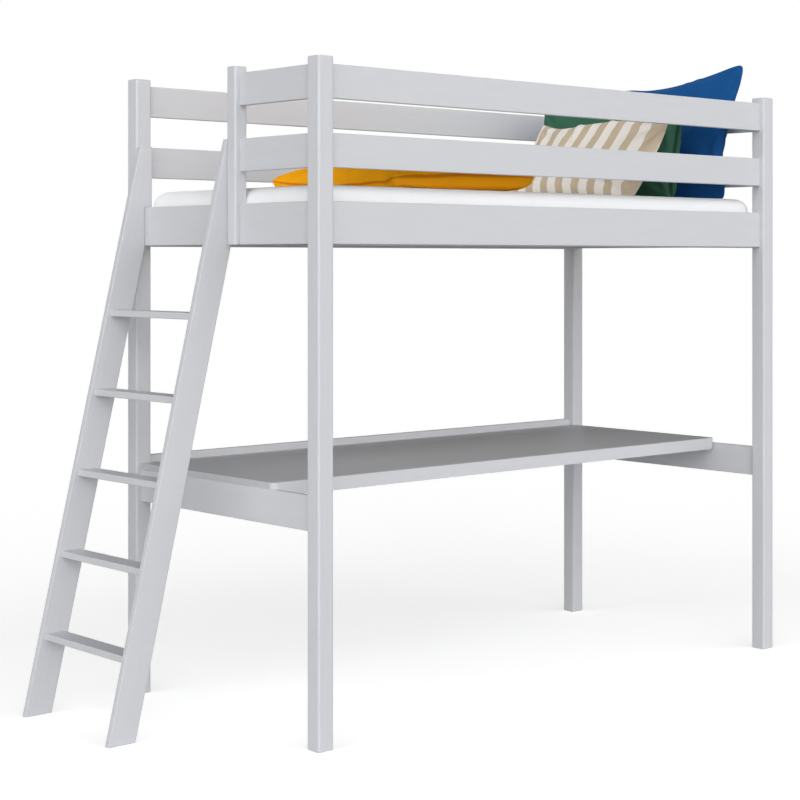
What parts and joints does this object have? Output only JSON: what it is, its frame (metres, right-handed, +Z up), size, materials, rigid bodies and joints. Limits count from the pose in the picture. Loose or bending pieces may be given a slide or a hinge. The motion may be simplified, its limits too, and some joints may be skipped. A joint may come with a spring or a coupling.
{
  "type": "loft bed with desk",
  "caption": "High single bed on four square posts with guard boards, a sloping ladder at one end, a full-length desk underneath, mattress and loose pillows.",
  "frame": {"origin": "on the floor, under the middle of the whole part's box (bed and ladder)", "axes": "+X along the bed from the ladder end to the head end, +Y from the open front to the wall side, +Z up"},
  "size_m": [2.514, 1.01, 2.1276],
  "materials": {
    "painted_wood": "satin paint, faint grain",
    "slat_wood": "raw pine",
    "bolt_steel": "zinc plated",
    "mattress_cover": "woven cotton",
    "yellow_fabric": "plain cotton",
    "striped_fabric": "linen, beige stripes on cream",
    "green_fabric": "plain cotton",
    "blue_fabric": "plain cotton"
  },
  "bodies": {
    "frame": {"back_bed_rail": "painted_wood", "back_guard_lower": "painted_wood", "back_guard_top": "painted_wood", "desk_back_rail": "painted_wood", "desk_front_edge": "painted_wood", "desk_left_rail": "painted_wood", "desk_right_cleat": "painted_wood", "desk_right_rail": "painted_wood", "desk_top": "painted_wood", "entry_post": "painted_wood", "front_bed_rail": "painted_wood", "front_guard_lower": "painted_wood", "front_guard_top": "painted_wood", "ladder_stile_far": "painted_wood", "ladder_stile_near": "painted_wood", "ladder_tread_1": "painted_wood", "ladder_tread_2": "painted_wood", "ladder_tread_3": "painted_wood", "ladder_tread_4": "painted_wood", "ladder_tread_5": "painted_wood", "left_end_rail": "painted_wood", "left_guard_lower": "painted_wood", "left_guard_top": "painted_wood", "post_back_left": "painted_wood", "post_back_right": "painted_wood", "post_front_left": "painted_wood", "post_front_right": "painted_wood", "right_end_rail": "painted_wood", "right_guard_lower": "painted_wood", "right_guard_top": "painted_wood", "slat_support_back": "painted_wood", "slat_support_front": "painted_wood", "slat_1": "slat_wood", "slat_2": "slat_wood", "slat_3": "slat_wood", "slat_4": "slat_wood", "slat_5": "slat_wood", "slat_6": "slat_wood", "slat_7": "slat_wood", "slat_8": "slat_wood", "slat_9": "slat_wood", "slat_10": "slat_wood", "slat_11": "slat_wood", "slat_12": "slat_wood", "rail_bolt_front_left": "bolt_steel", "rail_bolt_front_right": "bolt_steel", "rail_bolt_back_left": "bolt_steel", "rail_bolt_back_right": "bolt_steel", "rail_bolt_left_front": "bolt_steel", "rail_bolt_left_back": "bolt_steel", "rail_bolt_right_front": "bolt_steel", "rail_bolt_right_back": "bolt_steel", "ladder_bolt_near": "bolt_steel", "ladder_bolt_far": "bolt_steel"},
    "mattress": {"mattress": "mattress_cover"},
    "pillow_yellow": {"pillow_yellow": "yellow_fabric"},
    "pillow_striped": {"pillow_striped": "striped_fabric"},
    "pillow_green": {"pillow_green": "green_fabric"},
    "pillow_blue": {"pillow_blue": "blue_fabric"}
  },
  "joints": [
    {"name": "mattress_lift", "type": "slide", "parent": "frame", "child": "mattress", "axis": [0, 0, 1], "range_m": [0, 0.3]},
    {"name": "yellow_lift", "type": "slide", "parent": "mattress", "child": "pillow_yellow", "axis": [0, 0, 1], "range_m": [0, 0.3]},
    {"name": "striped_lift", "type": "slide", "parent": "mattress", "child": "pillow_striped", "axis": [-0.2873, 0, 0.9578], "range_m": [0, 0.3]},
    {"name": "green_lift", "type": "slide", "parent": "mattress", "child": "pillow_green", "axis": [0, 0, 1], "range_m": [0, 0.3]},
    {"name": "blue_lift", "type": "slide", "parent": "mattress", "child": "pillow_blue", "axis": [0, 0, 1], "range_m": [0, 0.3]}
  ]
}
